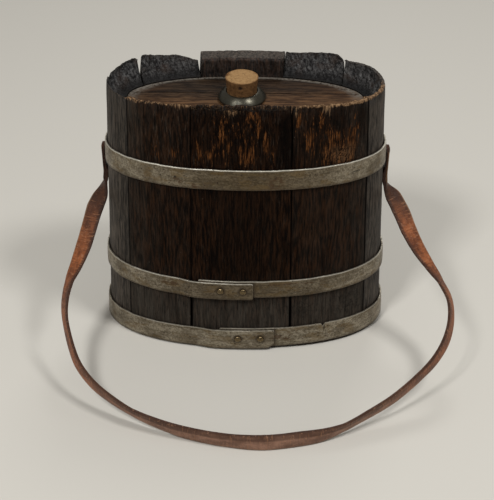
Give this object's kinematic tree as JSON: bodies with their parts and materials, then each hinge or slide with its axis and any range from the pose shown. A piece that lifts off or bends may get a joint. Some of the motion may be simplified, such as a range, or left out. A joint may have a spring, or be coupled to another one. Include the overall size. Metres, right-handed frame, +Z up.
{
  "type": "wooden canteen",
  "caption": "Oval stave-built wooden canteen with lapped iron hoops, a corked metal neck in its recessed top and a leather carrying strap that swings over the rim.",
  "frame": {"origin": "on the floor, under the middle of the oval base", "axes": "+Z up out of the mouth, +X along the long axis of the oval to the right of the front, -Y towards the front, where the strap lies"},
  "size_m": [0.2904, 0.2184, 0.207],
  "materials": {
    "stave_wood": "old dark oak, dry and worn",
    "end_stave_wood": "old dark oak, greyed",
    "charred_wood": "blackened oak, rough",
    "head_wood": "dry, worn",
    "hoop_iron": "weathered tinned iron, dull",
    "rivet_iron": "worn iron",
    "collar_metal": "dark pewter, polished by use",
    "cork": "raw cork",
    "strap_leather": "old tanned leather, satin"
  },
  "bodies": {
    "body": {"rear_right_stave": "charred_wood", "rear_middle_stave": "charred_wood", "rear_left_stave": "charred_wood", "left_end_stave": "end_stave_wood", "front_left_stave": "stave_wood", "front_middle_stave": "stave_wood", "front_right_stave": "stave_wood", "right_end_stave": "end_stave_wood", "top_head": "head_wood", "bottom_head": "head_wood", "top_hoop": "hoop_iron", "top_hoop_rivet_1": "rivet_iron", "top_hoop_rivet_2": "rivet_iron", "middle_hoop": "hoop_iron", "middle_hoop_rivet_1": "rivet_iron", "middle_hoop_rivet_2": "rivet_iron", "bottom_hoop": "hoop_iron", "bottom_hoop_rivet_1": "rivet_iron", "bottom_hoop_rivet_2": "rivet_iron", "left_strap_rivet": "rivet_iron", "right_strap_rivet": "rivet_iron", "neck_collar": "collar_metal"},
    "cork": {"cork": "cork"},
    "strap": {"carry_strap": "strap_leather"}
  },
  "joints": [
    {"name": "cork_pull", "type": "slide", "parent": "body", "child": "cork", "axis": [0, 0, 1], "range_m": [0, 0.06]},
    {"name": "strap_swing", "type": "hinge", "parent": "body", "child": "strap", "pos_m": [0, 0.004, 0.1455], "axis": [-1, 0, 0], "range_deg": [0, 255]}
  ]
}
